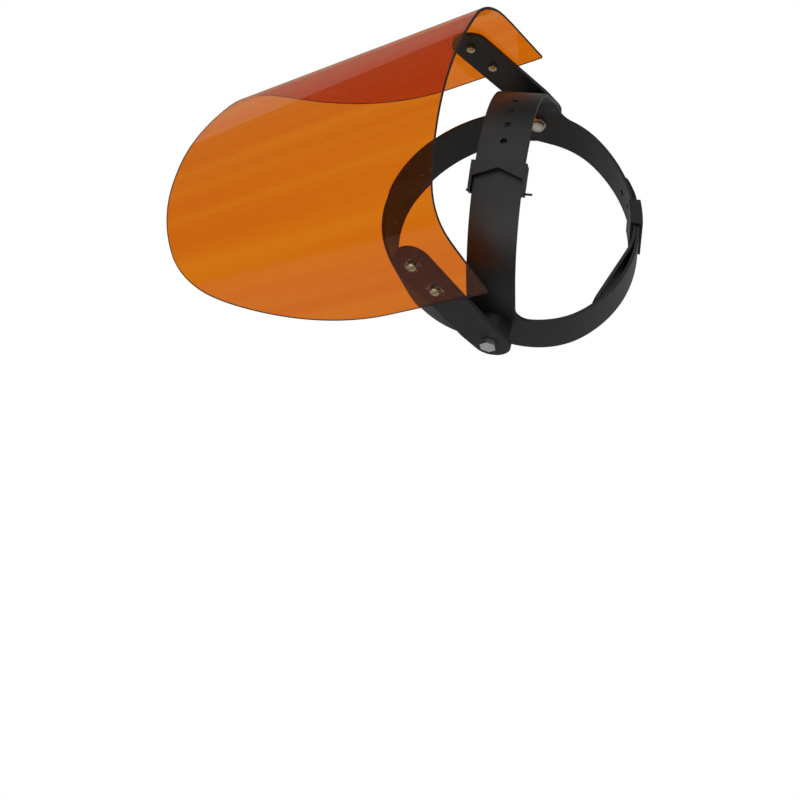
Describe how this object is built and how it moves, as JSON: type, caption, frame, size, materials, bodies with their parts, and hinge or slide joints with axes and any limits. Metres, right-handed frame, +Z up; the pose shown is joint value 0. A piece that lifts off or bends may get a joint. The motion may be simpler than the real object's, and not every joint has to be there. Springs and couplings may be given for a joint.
{
  "type": "face shield",
  "caption": "Worn face shield: a deep bent transparent visor screwed to arms that pivot at the temples of a strap headband with crown and nape straps joined by keepers.",
  "frame": {"origin": "centre of the head opening, on the visor's hinge axis, midway between the pivots", "axes": "+X the wearer's left, -Y the front, +Z up as worn, with the visor raised at rest"},
  "size_m": [0.2196, 0.338, 0.1843],
  "materials": {
    "headband_plastic": "black moulded polyethylene, satin",
    "keeper_plastic": "black moulded plastic, satin",
    "visor_acrylic": "transparent orange acrylic sheet, polished faces, sawn edges",
    "boss_plastic": "black moulded plastic, satin",
    "arm_plastic": "black plastic strip, satin, cut edges",
    "bright_zinc": "bright zinc plate",
    "yellow_zinc": "yellow passivated zinc plate"
  },
  "bodies": {
    "headband": {"headband": "headband_plastic", "pivot_boss_left": "boss_plastic", "pivot_washer_left": "bright_zinc", "pivot_nut_left": "bright_zinc", "pivot_bolt_left": "bright_zinc", "pivot_boss_right": "boss_plastic", "pivot_washer_right": "bright_zinc", "pivot_nut_right": "bright_zinc", "pivot_bolt_right": "bright_zinc"},
    "visor": {"visor": "visor_acrylic", "arm_left": "arm_plastic", "visor_screw_left_front": "yellow_zinc", "visor_nut_left_front": "yellow_zinc", "visor_screw_left_rear": "yellow_zinc", "visor_nut_left_rear": "yellow_zinc", "arm_right": "arm_plastic", "visor_screw_right_front": "yellow_zinc", "visor_nut_right_front": "yellow_zinc", "visor_screw_right_rear": "yellow_zinc", "visor_nut_right_rear": "yellow_zinc"},
    "crown_keeper": {"crown_keeper": "keeper_plastic"},
    "rear_keeper": {"rear_keeper": "keeper_plastic"}
  },
  "joints": [
    {"name": "visor_hinge", "type": "hinge", "parent": "headband", "child": "visor", "pos_m": [0, 0, 0], "axis": [-1, 0, 0], "range_deg": [-66, 44]},
    {"name": "crown_keeper_slide", "type": "hinge", "parent": "headband", "child": "crown_keeper", "pos_m": [0, 0, 0], "axis": [0, -0.998, 0.0628], "range_deg": [-0.5, 12]},
    {"name": "rear_keeper_slide", "type": "hinge", "parent": "headband", "child": "rear_keeper", "pos_m": [0, -0.02019, -0.0326], "axis": [0, 0.113, 0.9936], "range_deg": [-2, 2]}
  ]
}
